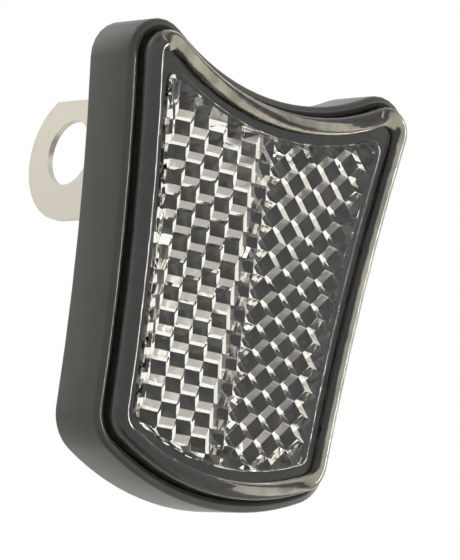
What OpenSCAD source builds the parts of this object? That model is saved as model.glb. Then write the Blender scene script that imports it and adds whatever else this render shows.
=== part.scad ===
// Front reflector for a bicycle: a clear lens with a field of cube-corner prisms
// in a black tray, carried by a folded steel bracket.
// The front faces -Y and +Z is up. The origin is the centre of the bracket's hole,
// halfway through the thickness of the sheet.

/* [Outline] */
// Half the width of the tray at the height where its sides are measured
half_w = 19.6; // [17:0.2:24]
// Widening of each side for each millimetre of height
side_slope = 0.1; // [0.05:0.005:0.15]
// Radius of the hollow sides
side_r = 310; // [160:2:400]
// Height of the top edge at its middle
top_rise = 20.1; // [19.8:0.1:24]
// Radius of the hollow top edge
top_r = 29.7; // [26:0.1:50]
// Depth of the bottom edge at its middle
bottom_drop = 30.3; // [26:0.1:34]
// Radius of the rounded bottom edge
bottom_r = 33.6; // [30:0.2:60]
// Radius of the two upper corners
top_corner_r = 4.6; // [3:0.1:7]
// Radius of the two lower corners
bottom_corner_r = 5.4; // [3:0.1:7]

/* [Tray] */
// Depth of the tray from its lip to its back
tray_depth = 8; // [6.5:0.1:10]
// Thickness of the lip beside the lens
lip_w = 1.4; // [1.2:0.1:2.5]
// Rounding of the lip's edges
lip_round = 0.6; // [0.3:0.05:0.7]
// Rounding of the back edge
back_round = 0.5; // [0.3:0.1:1.2]
// Thickness of the tray's floor
floor_t = 1.8; // [1.5:0.1:2.4]
// Width of the ledge that the lens is seated on
ledge_w = 1.4; // [1:0.1:2]
// Depth of the ledge below the lip
ledge_drop = 1.2; // [0.6:0.1:1.8]
// Height of the pad on the back that takes the bracket
pad_t = 1; // [0.6:0.1:2]
// Width of the rib that keeps the bracket from turning
rib_w = 1.2; // [0.8:0.1:2]
// Height of the rib above the pad
rib_h = 0.7; // [0.4:0.1:0.8]

/* [Lens] */
// Height of the floor of the lens's moat in front of the lip
moat_rise = 1.3; // [0.8:0.1:2]
// Width of the moat between the bead and the raised face
moat_w = 1.2; // [0.8:0.1:2]
// Thickness of the lens below the moat
flange_t = 1.4; // [1.2:0.1:2]
// Height of the raised face above the moat
face_h = 0.9; // [0.6:0.1:1.2]
// Rounding of the raised face's edge
shoulder_r = 0.35; // [0.2:0.05:0.5]
// Thickness of the lens between its raised face and the roots of the prisms
plate_t = 1.2; // [1:0.1:2]
// Width of the rounded bead outside the moat
bead_w = 2.2; // [2.1:0.1:3]
// Height of the bead above the moat
bead_h = 1.1; // [1.05:0.05:1.6]
// Radius of the bead's roundings
bead_r = 0.95; // [0.6:0.05:1]
// Gap between the lens and the lip
lens_gap = 0.1; // [0.05:0.05:0.3]
// Margin from the edge of the raised face to the prism field
field_margin = 0.2; // [0:0.1:2]
// Distance between neighbouring prisms
prism_pitch = 3; // [2.4:0.1:4]
// Distance from the middle to the first column of prisms on its right
first_column = 1.95; // [0:0.05:3]

/* [Bracket] */
// Thickness of the sheet
sheet_t = 0.8; // [0.6:0.1:1.5]
// Width of the strip
strip_w = 15.3; // [14:0.1:16]
// Inside radius of the fold
fold_r = 1.2; // [0.8:0.1:2]
// Radius of the hole in the leg
hole_r = 4.1; // [2.6:0.1:5.2]
// Height of the hole above the middle of the strip
hole_lift = 0.95; // [0.5:0.05:1.5]
// Distance from the back of the tray to the hole
hole_reach = 18.5; // [17:0.1:30]
// Distance from the hole to the end of the leg
hole_edge = 7.7; // [7:0.1:12]
// Radius of the rounded end of the leg
end_r = 8.3; // [8:0.1:12]
// Distance from the middle of the reflector to the middle of the leg's sheet
leg_offset = 8.5; // [8.2:0.1:12]
// Height of the hole above the level where the tray's width is measured
hole_rise = 12.2; // [8:0.2:12.6]

/* [Screw] */
// Diameter of the screw
screw_d = 5; // [4:1:5]
// Length of the screw below its head
screw_len = 10; // [10:1:14]
// Width of the screw's head and of the nut across their flats
hex_af = 8; // [7:0.5:8]
// Height of the screw's head
head_h = 3.5; // [2.8:0.1:3.5]
// Depth of the pocket that holds the head
pocket_depth = 1.3; // [1:0.1:1.6]
// Height of the nut
nut_h = 4; // [3.2:0.1:4.7]
// Outer diameter of the washer
washer_d = 10; // [9:0.5:11]
// Thickness of the washer
washer_t = 1; // [0.5:0.1:1.2]
// Clearance round the screw's shaft in what it passes through
shaft_gap = 0.15; // [0.1:0.05:0.4]
// Clearance between the shaft and the thread of the nut
thread_gap = 0.03; // [0.02:0.01:0.1]
// Clearance beside the head and beside the bracket's foot
side_gap = 0.15; // [0.1:0.05:0.4]

/* [Hidden] */

// Depths are counted forwards from the plane of the lip
tray_back = -tray_depth;
tray_floor = tray_back + floor_t;
ledge = -ledge_drop;
bead_top = moat_rise + bead_h;
face = moat_rise + face_h;
lens_back = moat_rise - flange_t;
prism_root = face - plate_t;
seat = tray_back - pad_t;
pocket_floor = tray_floor - pocket_depth;
leg_centre = tray_back - hole_reach;

// The lens is set in from the tray's outline by the lip and its gap, and its skirt stands on the ledge
lens_inset = lip_w + lens_gap;
inner_wall = lens_inset + ledge_w;
skirt_w = ledge_w - lens_gap;
bead_inner = lens_inset + bead_w;
face_inset = bead_inner + moat_w;
field_inset = face_inset + field_margin;

// Heights in the reflector's own frame, whose zero is where its width is measured
strip_mid = hole_rise - hole_lift;

// Heights and places of the strip from the hole, which is the origin
strip_low = -hole_lift - strip_w / 2;
end_centre = hole_edge - end_r;
foot_back = leg_centre - seat + sheet_t;
leg_start = foot_back + fold_r;
foot_start = sheet_t / 2 + fold_r;

// A cube's corner points backwards from the lens
cube_edge = prism_pitch / sqrt(2);
relief = 2 * cube_edge / sqrt(3);
prism_tip = prism_root - relief;
column_step = prism_pitch * sqrt(3) / 2;
columns = ceil(half_w * 1.2 / column_step);
rows = ceil(bottom_drop * 1.2 / prism_pitch);

// How far a solid runs into the one that it is joined to
sunk = 0.3;
overlap = 0.1;

// Facets on an eighth of the outline, and on round things
arc_steps = 9;
$fn = 64;

// Centres of the arcs that make the outline
slope_len = norm([1, side_slope]);
top_c = [0, top_rise + top_r];
side_c = [half_w + side_r / slope_len, -side_r * side_slope / slope_len];
bottom_c = [0, -bottom_drop + bottom_r];
least_corner = 1.2;

function heading(v) = atan2(v[1], v[0]);

// The meeting point of two circles that lies to the left of the way from a to b
function meet(a, ra, b, rb) =
    let (d = norm(b - a), along = (d * d + ra * ra - rb * rb) / (2 * d),
         u = (b - a) / d, up = sqrt(ra * ra - along * along))
    a + u * along + [-u[1], u[0]] * up;

function arc(c, r, from, to, steps) =
    [for (i = [0:steps]) let (a = from + (to - from) * i / steps) c + r * [cos(a), sin(a)]];

// The right half of the outline, from the middle of the top to the middle of the bottom,
// moved inwards by inset
function half_outline(inset) =
    let (rt = max(top_corner_r - inset, least_corner),
         rb = max(bottom_corner_r - inset, least_corner),
         top = top_r + inset, side = side_r + inset, low = bottom_r - inset,
         ct = meet(side_c, side + rt, top_c, top + rt),
         cb = meet(side_c, side + rb, bottom_c, low - rb))
    concat(
        arc(top_c, top, -90, heading(ct - top_c), arc_steps),
        arc(ct, rt, heading(top_c - ct), heading(side_c - ct), arc_steps),
        arc(side_c, side, 360 + heading(ct - side_c), 360 + heading(cb - side_c), 6),
        arc(cb, rb, heading(side_c - cb), heading(cb - bottom_c), arc_steps),
        arc(bottom_c, low, heading(cb - bottom_c), -90, arc_steps));

function thinned(points) =
    [for (i = [0:len(points) - 1]) if (i == 0 || norm(points[i] - points[i - 1]) > 0.001) points[i]];

function outline(inset) =
    let (right = thinned(half_outline(inset)), n = len(right))
    concat(right, [for (i = [n - 2:-1:1]) [-right[i][0], right[i][1]]]);

// A solid skin through rings, each given as [inset, depth], closed by a flat face at both ends
module skin(rings) {
    loops = [for (r = rings) [for (p = outline(r[0])) [p[0], -r[1], p[1]]]];
    n = len(loops[0]);
    last = len(rings) - 1;
    polyhedron(
        points = [for (loop = loops) each loop],
        faces = concat(
            [[for (i = [n - 1:-1:0]) i]],
            [for (k = [0:last - 1], i = [0:n - 1])
                [k * n + i, k * n + (i + 1) % n, (k + 1) * n + (i + 1) % n, (k + 1) * n + i]],
            [[for (i = [0:n - 1]) last * n + i]]));
}

// Rounds a corner of a ring profile: centre, radius and the angles it runs between
function bend(c, r, from, to, steps = 4) = arc(c, r, from, to, steps);

module in_reflector() {
    translate([leg_offset, leg_centre, -hole_rise]) children();
}

// Something round or six-sided that runs along the depth, between two depths
module along_depth(from, to) {
    translate([0, -from, strip_mid]) rotate([90, 0, 0]) linear_extrude(to - from) children();
}

module hexagon(flats) { circle(d = flats / cos(30), $fn = 6); }

module tray() {
    edge = lip_round;
    color([0.11, 0.11, 0.1])
    in_reflector() difference() {
        union() {
            skin(concat(
                bend([back_round, tray_back + back_round], back_round, 270, 180),
                bend([edge, -edge], edge, 180, 90),
                bend([lip_w - edge, -edge], edge, 90, 0),
                [[lip_w, ledge], [inner_wall, ledge], [inner_wall, tray_floor]]));
            rear_pad();
        }
        along_depth(seat - 1, tray_floor + 1) circle(r = screw_d / 2 + shaft_gap);
        along_depth(pocket_floor, tray_floor + 1) hexagon(hex_af + 2 * side_gap);
    }
}

// The pad under the bracket's foot, with a rib below the strip
module rear_pad() {
    rib_low = strip_mid - strip_w / 2 - side_gap - rib_w;
    translate([-strip_w / 2, -tray_back - sunk, rib_low]) {
        cube([strip_w, pad_t + sunk, strip_w + side_gap + rib_w]);
        cube([strip_w, pad_t + rib_h + sunk, rib_w]);
    }
}

// A pocket at the back for the prisms, a skirt down to the ledge, a bead, a moat and a raised face
module lens() {
    skirt = lens_inset + skirt_w;
    crest = bead_top - bead_r;
    color([0.85, 0.87, 0.87, 0.5])
    in_reflector() {
        skin(concat(
            [[field_inset, prism_root + overlap], [field_inset, lens_back],
             [skirt, lens_back], [skirt, ledge], [lens_inset, ledge]],
            bend([lens_inset + bead_r, crest], bead_r, 180, 90, 5),
            bend([bead_inner - bead_r, crest], bead_r, 90, 0, 5),
            [[bead_inner, moat_rise], [face_inset, moat_rise]],
            bend([face_inset + shoulder_r, face - shoulder_r], shoulder_r, 180, 90, 3)));
        prism_field();
    }
}

// The prisms, cut to the field's outline. Those to the left of the first column are turned half round.
module prism_field() {
    intersection() {
        translate([0, sunk - prism_tip, 0]) rotate([90, 0, 0]) linear_extrude(relief + plate_t)
            polygon(outline(field_inset - overlap));
        for (i = [-columns:columns], j = [-rows:rows]) {
            centre = [first_column + i * column_step, (j + abs(i % 2) / 2) * prism_pitch];
            if (near_field(centre)) prism(centre, i < 0 ? 1 : 0);
        }
    }
}

// Whether a prism at a point can reach into the field
function near_field(p) =
    let (margin = field_inset - prism_pitch * 0.6)
    norm(p - top_c) > top_r + margin && norm(p - bottom_c) < bottom_r - margin
        && norm([abs(p[0]), p[1]] - side_c) > side_r + margin;

function rounded(v) = round(v * 1000) / 1000;

// A corner of the six-sided prism round a centre, at a depth
function prism_corner(centre, k, depth) =
    let (p = centre + prism_pitch / sqrt(3) * [cos(60 * k), sin(60 * k)])
    [rounded(p[0]), -rounded(depth), rounded(p[1])];

// A six-sided column that ends to the back in the corner of a cube: every second corner of the
// column is as far forwards as the cube's faces reach, and the others are halfway
module prism(centre, turn) {
    hull() polyhedron(
        points = concat(
            [[rounded(centre[0]), -rounded(prism_tip), rounded(centre[1])]],
            [for (k = [0:5]) prism_corner(centre, k, prism_tip + relief * ((k + turn) % 2 == 0 ? 1 : 0.5))],
            [for (k = [0:5]) prism_corner(centre, k, prism_root + sunk)]),
        faces = [[for (k = [0:5]) k + 1], [for (k = [0:5]) k + 7], [0, 1, 2]]);
}

module bracket() {
    color([0.83, 0.81, 0.75]) {
        translate([-sheet_t / 2, 0, 0]) rotate([90, 0, 90]) linear_extrude(sheet_t) leg_shape();
        translate([foot_start, leg_start, strip_low]) rotate([0, 0, 180])
            rotate_extrude(angle = 90) translate([fold_r, 0]) square([sheet_t, strip_w]);
        translate([0, foot_back, 0]) rotate([90, 0, 0]) linear_extrude(sheet_t) foot_shape();
    }
}

// The leg from the side: along it to the right, heights upwards
module leg_shape() {
    difference() {
        intersection() {
            translate([leg_start, strip_low]) square([hole_edge - leg_start, strip_w]);
            union() {
                translate([leg_start, strip_low]) square([end_centre - leg_start, strip_w]);
                translate([end_centre, strip_low + end_r]) circle(r = end_r);
            }
        }
        circle(r = hole_r);
    }
}

// The foot from the front, with a round end about the screw
module foot_shape() {
    difference() {
        union() {
            translate([foot_start, strip_low]) square([leg_offset - foot_start, strip_w]);
            translate([leg_offset, -hole_lift]) circle(d = strip_w);
        }
        translate([leg_offset, -hole_lift]) circle(r = screw_d / 2 + shaft_gap);
    }
}

module hex_screw() {
    color([0.7, 0.69, 0.66]) in_reflector() {
        along_depth(pocket_floor, pocket_floor + head_h) hexagon(hex_af);
        along_depth(pocket_floor - screw_len, pocket_floor + head_h / 2) circle(d = screw_d);
    }
}

module washer() {
    top = seat - sheet_t;
    color([0.72, 0.71, 0.68])
    in_reflector() along_depth(top - washer_t, top) difference() {
        circle(d = washer_d);
        circle(r = screw_d / 2 + shaft_gap);
    }
}

module hex_nut() {
    top = seat - sheet_t - washer_t;
    color([0.7, 0.69, 0.66])
    in_reflector() along_depth(top - nut_h, top) difference() {
        hexagon(hex_af);
        circle(r = screw_d / 2 + thread_gap);
    }
}

tray();
lens();
bracket();
hex_screw();
washer();
hex_nut();
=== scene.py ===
import bpy
import bmesh
import math
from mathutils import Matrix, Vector


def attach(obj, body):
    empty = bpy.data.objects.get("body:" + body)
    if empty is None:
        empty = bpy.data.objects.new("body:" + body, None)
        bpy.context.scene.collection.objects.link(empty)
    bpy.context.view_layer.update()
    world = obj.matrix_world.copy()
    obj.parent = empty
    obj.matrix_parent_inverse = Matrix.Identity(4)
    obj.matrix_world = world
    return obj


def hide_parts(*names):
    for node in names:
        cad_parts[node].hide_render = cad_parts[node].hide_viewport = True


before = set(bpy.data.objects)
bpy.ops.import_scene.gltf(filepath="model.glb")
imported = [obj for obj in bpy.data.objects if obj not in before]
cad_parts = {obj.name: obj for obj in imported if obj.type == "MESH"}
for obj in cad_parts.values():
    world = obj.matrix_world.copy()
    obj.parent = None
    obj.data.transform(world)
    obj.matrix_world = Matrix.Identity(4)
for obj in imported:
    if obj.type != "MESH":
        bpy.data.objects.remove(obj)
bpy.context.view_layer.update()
print("frame loaded")

mergeDistance = 0.0000015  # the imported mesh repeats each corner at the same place, give or take this much


def toObjectMode():
    if bpy.context.object and bpy.context.object.mode != "OBJECT":
        bpy.ops.object.mode_set(mode="OBJECT")


def pickOnly(piece):
    toObjectMode()
    bpy.ops.object.select_all(action="DESELECT")
    piece.select_set(True)
    bpy.context.view_layer.objects.active = piece


def mergedCopy(nodeName, pieceName):
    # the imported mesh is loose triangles, so its copy is merged before anything else
    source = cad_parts[nodeName]
    piece = bpy.data.objects.new(pieceName, source.data.copy())
    bpy.context.scene.collection.objects.link(piece)
    piece.data.materials.clear()
    pickOnly(piece)
    bpy.ops.object.mode_set(mode="EDIT")
    bpy.ops.mesh.select_all(action="SELECT")
    bpy.ops.mesh.remove_doubles(threshold=mergeDistance)
    bpy.ops.mesh.mark_sharp(clear=True)
    bpy.ops.object.mode_set(mode="OBJECT")
    bpy.ops.mesh.customdata_custom_splitnormals_clear()
    return piece


def smoothUnder(piece, degrees):
    pickOnly(piece)
    bpy.ops.object.shade_smooth_by_angle(angle=math.radians(degrees))


def outwardsOf(face, middle):
    # above zero where the face looks away from the middle of the body, below zero where it looks to it
    return (face.center.x - middle[0]) * face.normal.x + (face.center.z - middle[1]) * face.normal.z


def finishPiece(piece, material, slotName, *nodes):
    piece.data.materials.clear()
    piece.data.materials.append(material)
    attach(piece, "root")
    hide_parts(*nodes)


# Materials

def newMaterial(name, color, roughness, metallic=0.0):
    material = bpy.data.materials.new(name)
    material.use_nodes = True
    shader = material.node_tree.nodes["Principled BSDF"]
    shader.inputs["Base Color"].default_value = (*color, 1)
    shader.inputs["Roughness"].default_value = roughness
    shader.inputs["Metallic"].default_value = metallic
    return material, material.node_tree, shader


def addNoise(tree, scale, detail, stretch=(1, 1, 1)):
    place = tree.nodes.new("ShaderNodeTexCoord")
    mapping = tree.nodes.new("ShaderNodeMapping")
    mapping.inputs["Scale"].default_value = stretch
    noise = tree.nodes.new("ShaderNodeTexNoise")
    noise.inputs["Scale"].default_value = scale
    noise.inputs["Detail"].default_value = detail
    tree.links.new(place.outputs["Object"], mapping.inputs["Vector"])
    tree.links.new(mapping.outputs["Vector"], noise.inputs["Vector"])
    return noise


def addRamp(tree, source, low, high):
    ramp = tree.nodes.new("ShaderNodeValToRGB")
    ramp.color_ramp.elements[0].color = (*low, 1)
    ramp.color_ramp.elements[1].color = (*high, 1)
    ramp.color_ramp.elements[0].position = 0.3
    ramp.color_ramp.elements[1].position = 0.7
    tree.links.new(source.outputs["Fac"], ramp.inputs["Fac"])
    return ramp


def addBump(tree, shader, source, strength, distance):
    bump = tree.nodes.new("ShaderNodeBump")
    bump.inputs["Strength"].default_value = strength
    bump.inputs["Distance"].default_value = distance
    tree.links.new(source.outputs["Fac"], bump.inputs["Height"])
    tree.links.new(bump.outputs["Normal"], shader.inputs["Normal"])


def addRoughRange(tree, shader, source, low, high):
    spread = tree.nodes.new("ShaderNodeMapRange")
    spread.inputs["To Min"].default_value = low
    spread.inputs["To Max"].default_value = high
    tree.links.new(source.outputs["Fac"], spread.inputs["Value"])
    tree.links.new(spread.outputs["Result"], shader.inputs["Roughness"])


def makeTrayPlastic():
    material, tree, shader = newMaterial("satinBlackPlastic", (0.024, 0.024, 0.02), 0.32)
    grain = addNoise(tree, 5200, 3)
    patches = addNoise(tree, 260, 4)
    addBump(tree, shader, grain, 0.35, 0.00003)
    addRoughRange(tree, shader, patches, 0.28, 0.38)
    tint = addRamp(tree, patches, (0.021, 0.021, 0.017), (0.03, 0.03, 0.025))
    tree.links.new(tint.outputs["Color"], shader.inputs["Base Color"])
    return material


def makeClearLens():
    material, tree, shader = newMaterial("clearAcrylic", (0.975, 0.965, 0.91), 0.0)
    shader.inputs["Transmission Weight"].default_value = 1
    shader.inputs["IOR"].default_value = 1.49
    ripple = addNoise(tree, 240, 2)
    addBump(tree, shader, ripple, 0.04, 0.0002)
    return material


def makeBracketSteel():
    material, tree, shader = newMaterial("rolledSteel", (0.5, 0.475, 0.415), 0.3, 1)
    rolled = addNoise(tree, 900, 5, (0.08, 1, 1))
    addRoughRange(tree, shader, rolled, 0.26, 0.4)
    addBump(tree, shader, rolled, 0.15, 0.00002)
    return material


def makeFastenerSteel():
    material, tree, shader = newMaterial("zincPlating", (0.66, 0.65, 0.62), 0.28, 1)
    clouds = addNoise(tree, 700, 4)
    addRoughRange(tree, shader, clouds, 0.22, 0.38)
    return material


def makeScrewSteel():
    material, tree, shader = newMaterial("blackenedSteel", (0.03, 0.03, 0.029), 0.4, 0.3)
    clouds = addNoise(tree, 700, 4)
    addRoughRange(tree, shader, clouds, 0.34, 0.5)
    return material


def makeDullInside():
    material, tree, shader = newMaterial("dullInside", (0.03, 0.03, 0.027), 0.85)
    shader.inputs["Specular IOR Level"].default_value = 0.1
    mottleNoise = addNoise(tree, 1400, 3)
    addRoughRange(tree, shader, mottleNoise, 0.8, 0.95)
    return material


def makeJointGrey():
    material, tree, shader = newMaterial("jointGrey", (0.022, 0.022, 0.019), 0.6)
    shader.inputs["Specular IOR Level"].default_value = 0.2
    mottleNoise = addNoise(tree, 1100, 3)
    tint = addRamp(tree, mottleNoise, (0.016, 0.016, 0.014), (0.03, 0.03, 0.026))
    tree.links.new(tint.outputs["Color"], shader.inputs["Base Color"])
    return material


# a weld drawn as a tinted mirror: its colour ramp sets the painted highlight streaks that show through the
# bead
def makeWeldAndPaintedSheen():
    material, tree, shader = newMaterial("weldAndPaintedSheen", (0.3, 0.29, 0.25), 0.12, 1)
    mottleNoise = addNoise(tree, 420, 3)
    addRoughRange(tree, shader, mottleNoise, 0.06, 0.2)
    addBump(tree, shader, mottleNoise, 0.2, 0.0003)
    tint = addRamp(tree, mottleNoise, (0.2, 0.193, 0.168), (0.42, 0.405, 0.352))
    tree.links.new(tint.outputs["Color"], shader.inputs["Base Color"])
    return material


dullInside = makeDullInside()
jointGrey = makeJointGrey()
weldAndPaintedSheen = makeWeldAndPaintedSheen()
trayPlastic = makeTrayPlastic()
clearLens = makeClearLens()
bracketSteel = makeBracketSteel()
fastenerSteel = makeFastenerSteel()
screwSteel = makeScrewSteel()
print("materials made")

# Pieces

traySettings = {
    "middle": (0.0085, -0.0155),
    "ledge": -0.0258,
    "back": -0.0187,
    "backPlane": -0.0185,
    "planeSlack": 0.000002,
    "facing": 0.9,
    "inwards": -0.0005,
    "smoothUnder": 35,
}


def refillBack(piece, settings):
    # the cap of the hollow outline is filled again, so that no face crosses the hollow
    pickOnly(piece)
    bpy.ops.object.mode_set(mode="EDIT")
    bpy.ops.mesh.select_mode(type="FACE")
    bpy.ops.mesh.select_all(action="DESELECT")
    mesh = bmesh.from_edit_mesh(piece.data)

    def inPlane(part):
        return all(abs(vert.co.y - settings["backPlane"]) < settings["planeSlack"] for vert in part.verts)

    for face in mesh.faces:
        face.select = inPlane(face)
    bmesh.update_edit_mesh(piece.data)
    bpy.ops.mesh.delete(type="ONLY_FACE")
    bpy.ops.mesh.select_mode(type="EDGE")
    bpy.ops.mesh.select_all(action="DESELECT")
    mesh = bmesh.from_edit_mesh(piece.data)
    for edge in mesh.edges:
        edge.select = inPlane(edge) and len(edge.link_faces) == 0
    bmesh.update_edit_mesh(piece.data)
    bpy.ops.mesh.delete(type="EDGE")
    mesh = bmesh.from_edit_mesh(piece.data)
    for edge in mesh.edges:
        edge.select = inPlane(edge) and len(edge.link_faces) == 1
    bmesh.update_edit_mesh(piece.data)
    bpy.ops.mesh.fill(use_beauty=True)
    bpy.ops.mesh.select_all(action="SELECT")
    bpy.ops.mesh.normals_make_consistent(inside=False)
    bpy.ops.object.mode_set(mode="OBJECT")


def paintInside(piece, settings):
    # the floor, the ledge and all walls that look inwards are dull
    for face in piece.data.polygons:
        beforeBack = face.center.y < settings["back"]
        facesLens = face.normal.y < -settings["facing"] and settings["ledge"] < face.center.y
        looksInwards = outwardsOf(face, settings["middle"]) < settings["inwards"]
        if beforeBack and (facesLens or looksInwards):
            face.material_index = 1


tray = mergedCopy("tray", "trayMoulding")
refillBack(tray, traySettings)
smoothUnder(tray, traySettings["smoothUnder"])
finishPiece(tray, trayPlastic, "tray_plastic", "tray")
tray.data.materials.append(dullInside)
paintInside(tray, traySettings)

# the lens is welded to the ledge under its skirt; the weld face is drawn as a tinted mirror, so its colour
# paints highlight streaks along the bead
lensSettings = {
    "middle": (0.0085, -0.0155),
    "pocketTop": -0.0276,
    "flangeBack": -0.0264,
    "skirtEnd": -0.0253,
    "lift": 0.00003,
    "endSlack": 0.000005,
    "slack": 0.00006,
    "facing": 0.9,
    "upright": 0.1,
    "smoothUnder": 35,
}


def liftSkirt(piece, settings):
    # the skirt's end is drawn 0.03 mm short of the ledge, or the ledge's face would hide it
    for vertex in piece.data.vertices:
        if abs(vertex.co.y - settings["skirtEnd"]) < settings["endSlack"]:
            vertex.co.y -= settings["lift"]


def paintWeldSheenAndJoint(piece, settings):
    # 1 is the weld at the skirt's end, a tinted mirror that paints highlight streaks into the bead, 2 the
    # grey joint on the flange's back and the walls beside it
    liftedEnd = settings["skirtEnd"] - settings["lift"]
    flangeBack = settings["flangeBack"]
    for face in piece.data.polygons:
        ys = [piece.data.vertices[corner].co.y for corner in face.vertices]
        low, high = min(ys) + settings["slack"], max(ys) - settings["slack"]
        facesBack = face.normal.y > settings["facing"]
        upright = abs(face.normal.y) < settings["upright"]
        inwards = outwardsOf(face, settings["middle"]) < 0
        if facesBack and abs(face.center.y - liftedEnd) < 2 * settings["endSlack"]:
            face.material_index = 1
        elif upright and low > settings["pocketTop"] and high < flangeBack:
            face.material_index = 2
        elif facesBack and high < flangeBack < low:
            face.material_index = 2
        elif upright and inwards and low > flangeBack and high < settings["skirtEnd"]:
            face.material_index = 2


# the mould rounds each edge between the facets of the prisms, and those edges catch the light
prismSettings = {
    "leastTilt": 0.5,
    "mostTilt": 0.65,
    "pocketFloor": -0.0277,
    "flatWithin": 0.5,
    "edge": 0.00212,
    "edgeSlack": 0.00003,
    "round": 0.000035,
    "steps": 3,
}


def prismFacets(mesh, settings):
    tilted = [face for face in mesh.faces if settings["leastTilt"] < face.normal.y < settings["mostTilt"]]
    return [face for face in tilted if face.calc_center_median().y > settings["pocketFloor"]]


def roundPrisms(piece, settings):
    pickOnly(piece)
    bpy.ops.object.mode_set(mode="EDIT")
    bpy.ops.mesh.select_mode(type="FACE")
    bpy.ops.mesh.select_all(action="DESELECT")
    mesh = bmesh.from_edit_mesh(piece.data)
    for face in prismFacets(mesh, settings):
        face.select = True
    bmesh.update_edit_mesh(piece.data)
    bpy.ops.mesh.dissolve_limited(angle_limit=math.radians(settings["flatWithin"]))
    bpy.ops.mesh.select_mode(type="EDGE")
    bpy.ops.mesh.select_all(action="DESELECT")
    mesh = bmesh.from_edit_mesh(piece.data)
    facets = set(prismFacets(mesh, settings))
    for edge in mesh.edges:
        between = len(edge.link_faces) == 2 and all(face in facets for face in edge.link_faces)
        wholeEdge = abs(edge.calc_length() - settings["edge"]) < settings["edgeSlack"]
        edge.select = between and wholeEdge
    bmesh.update_edit_mesh(piece.data)
    bpy.ops.mesh.bevel(offset=settings["round"], segments=settings["steps"], clamp_overlap=False)
    bpy.ops.mesh.select_mode(type="FACE")
    bpy.ops.mesh.region_to_loop()
    bpy.ops.mesh.mark_sharp()
    bpy.ops.object.mode_set(mode="OBJECT")


lens = mergedCopy("lens", "lensMoulding")
liftSkirt(lens, lensSettings)
roundPrisms(lens, prismSettings)
smoothUnder(lens, lensSettings["smoothUnder"])
finishPiece(lens, clearLens, "clear_lens", "lens")
lens.data.materials.append(weldAndPaintedSheen)
lens.data.materials.append(jointGrey)
paintWeldSheenAndJoint(lens, lensSettings)

bracketSettings = {"smoothUnder": 30}

bracket = mergedCopy("bracket", "foldedBracket")
smoothUnder(bracket, bracketSettings["smoothUnder"])
finishPiece(bracket, bracketSteel, "bracket_steel", "bracket")

# the screw, the washer and the nut stay as they came, and only get their materials
for nodeName, nodeSteel in (("hex_screw", screwSteel), ("washer", fastenerSteel), ("hex_nut", fastenerSteel)):
    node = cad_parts[nodeName]
    node.data.materials.clear()
    node.data.materials.append(nodeSteel)
print("pieces made")

# Camera, at the place that the photograph was taken from

cameraSettings = {
    "place": (-0.33312, -0.44757, -0.10908),
    "forward": (0.61899, 0.76655, 0.17104),
    "up": (-0.23722, -0.02513, 0.97113),
    "lens": 295.2,
    "clipStart": 0.01,
}


def makeCamera(settings):
    data = bpy.data.cameras.new("productCamera")
    data.lens = settings["lens"]
    data.clip_start = settings["clipStart"]
    camera = bpy.data.objects.new("productCamera", data)
    bpy.context.scene.collection.objects.link(camera)
    back = -Vector(settings["forward"]).normalized()
    right = Vector(settings["up"]).cross(back).normalized()
    up = back.cross(right)
    turn = camera.matrix_world.copy()
    for row in range(3):
        turn[row][0], turn[row][1], turn[row][2] = right[row], up[row], back[row]
        turn[row][3] = settings["place"][row]
    camera.matrix_world = turn
    bpy.context.scene.camera = camera


makeCamera(cameraSettings)

# Stage and light

stageSettings = {
    "floorHeight": -0.2,
    "floorSize": 8,
    "floorColor": (0.9, 0.9, 0.9),
    "floorRoughness": 0.7,
    "warm": (1, 0.975, 0.9),
    "tent": 0.95,
}


def makeFloor(settings):
    toObjectMode()
    bpy.ops.object.select_all(action="DESELECT")
    bpy.ops.mesh.primitive_plane_add(size=settings["floorSize"], location=(0, 0, settings["floorHeight"]))
    floor = bpy.context.object
    floor.name = "studioFloor"
    material, tree, shader = newMaterial("paleFloor", settings["floorColor"], settings["floorRoughness"])
    floor.data.materials.append(material)


# two grey cards that only glossy and transmitted rays meet tone down what the prisms show
cardSettings = {
    "lowCard": {
        "place": (-0.02, -0.11, -0.195),
        "aimed": False,
        "size": 0.2,
        "tone": 0.16,
        "core": 0.03,
        "rim": 0.6,
        "reach": 0.1,
    },
    "highCard": {
        "place": (-0.36, -0.44, 0.56),
        "aimed": True,
        "size": 0.7,
        "tone": 0.42,
        "core": 0.105,
        "rim": 0.9,
        "reach": 0.35,
    },
}


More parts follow.
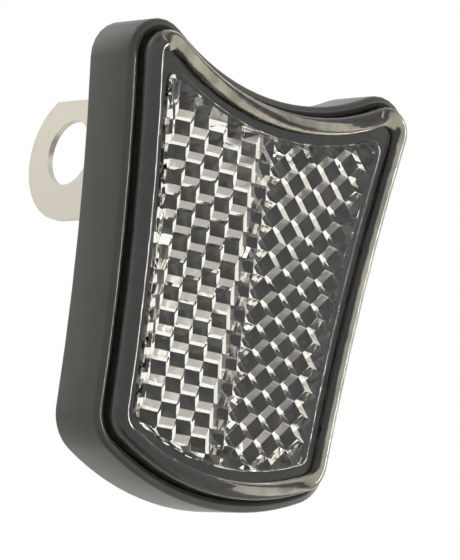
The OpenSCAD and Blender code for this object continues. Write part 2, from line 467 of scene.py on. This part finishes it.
def makeCard(name, settings):
    toObjectMode()
    bpy.ops.object.select_all(action="DESELECT")
    bpy.ops.mesh.primitive_plane_add(size=settings["size"])
    card = bpy.context.object
    card.name = name
    card.location = settings["place"]
    if settings["aimed"]:
        card.rotation_euler = (-Vector(settings["place"])).to_track_quat("Z", "Y").to_euler()
    material, tree, shader = newMaterial(name + "Felt", (settings["tone"],) * 3, 1.0)
    shader.inputs["Specular IOR Level"].default_value = 0
    place = tree.nodes.new("ShaderNodeTexCoord")
    length = tree.nodes.new("ShaderNodeVectorMath")
    length.operation = "LENGTH"
    fade = tree.nodes.new("ShaderNodeMapRange")
    fade.inputs["From Min"].default_value = settings["core"]
    fade.inputs["From Max"].default_value = settings["reach"]
    fade.inputs["To Min"].default_value = settings["tone"]
    fade.inputs["To Max"].default_value = settings["rim"]
    tree.links.new(place.outputs["Object"], length.inputs[0])
    tree.links.new(length.outputs["Value"], fade.inputs["Value"])
    tree.links.new(fade.outputs["Result"], shader.inputs["Base Color"])
    path = tree.nodes.new("ShaderNodeLightPath")
    shiny = tree.nodes.new("ShaderNodeMath")
    shiny.operation = "MAXIMUM"
    clear = tree.nodes.new("ShaderNodeBsdfTransparent")
    pick = tree.nodes.new("ShaderNodeMixShader")
    tree.links.new(path.outputs["Is Glossy Ray"], shiny.inputs[0])
    tree.links.new(path.outputs["Is Transmission Ray"], shiny.inputs[1])
    tree.links.new(shiny.outputs["Value"], pick.inputs["Fac"])
    tree.links.new(clear.outputs[0], pick.inputs[1])
    tree.links.new(shader.outputs[0], pick.inputs[2])
    tree.links.new(pick.outputs[0], tree.nodes["Material Output"].inputs["Surface"])
    card.data.materials.append(material)


def makeWorld(settings):
    world = bpy.data.worlds.new("paleStudio")
    bpy.context.scene.world = world
    world.use_nodes = True
    tree = world.node_tree
    tree.nodes.clear()
    around = tree.nodes.new("ShaderNodeBackground")
    around.inputs["Color"].default_value = (*settings["warm"], 1)
    around.inputs["Strength"].default_value = settings["tent"]
    white = tree.nodes.new("ShaderNodeBackground")
    white.inputs["Color"].default_value = (1, 1, 1, 1)
    path = tree.nodes.new("ShaderNodeLightPath")
    seen = tree.nodes.new("ShaderNodeMath")
    seen.operation = "MAXIMUM"
    seenInGloss = tree.nodes.new("ShaderNodeMath")
    seenInGloss.operation = "MAXIMUM"
    pick = tree.nodes.new("ShaderNodeMixShader")
    output = tree.nodes.new("ShaderNodeOutputWorld")
    tree.links.new(path.outputs["Is Glossy Ray"], seenInGloss.inputs[0])
    tree.links.new(path.outputs["Is Transmission Ray"], seenInGloss.inputs[1])
    tree.links.new(path.outputs["Is Camera Ray"], seen.inputs[0])
    tree.links.new(seenInGloss.outputs["Value"], seen.inputs[1])
    tree.links.new(seen.outputs["Value"], pick.inputs["Fac"])
    tree.links.new(around.outputs[0], pick.inputs[1])
    tree.links.new(white.outputs[0], pick.inputs[2])
    tree.links.new(pick.outputs[0], output.inputs["Surface"])


lampAim = (0.008, -0.025, -0.015)
lampSettings = {
    "stripLamp": {"place": (0.72, -0.36, 0.1), "size": 0.12, "tall": 0.5, "watts": 4.0},
    "backLamp": {"place": (-0.25, 0.55, 0.35), "size": 0.5, "tall": 0.5, "watts": 0.6},
}


def makeLamp(name, settings):
    data = bpy.data.lights.new(name, "AREA")
    data.energy = settings["watts"]
    data.shape = "RECTANGLE"
    data.size = settings["size"]
    data.size_y = settings["tall"]
    data.color = stageSettings["warm"]
    lamp = bpy.data.objects.new(name, data)
    bpy.context.scene.collection.objects.link(lamp)
    lamp.location = settings["place"]
    aim = Vector(lampAim) - lamp.location
    lamp.rotation_euler = aim.to_track_quat("-Z", "Y").to_euler()


makeFloor(stageSettings)
for cardName, cardFacts in cardSettings.items():
    makeCard(cardName, cardFacts)
makeWorld(stageSettings)
for lampName, lampFacts in lampSettings.items():
    makeLamp(lampName, lampFacts)
bpy.context.scene.view_settings.view_transform = "Standard"
# light turns round many times inside the prisms and the bead before it comes out again
bounceSettings = {"all": 32, "glossy": 24, "transmission": 24}
bpy.context.scene.cycles.max_bounces = bounceSettings["all"]
bpy.context.scene.cycles.glossy_bounces = bounceSettings["glossy"]
bpy.context.scene.cycles.transmission_bounces = bounceSettings["transmission"]
print("camera, stage and lamps made")
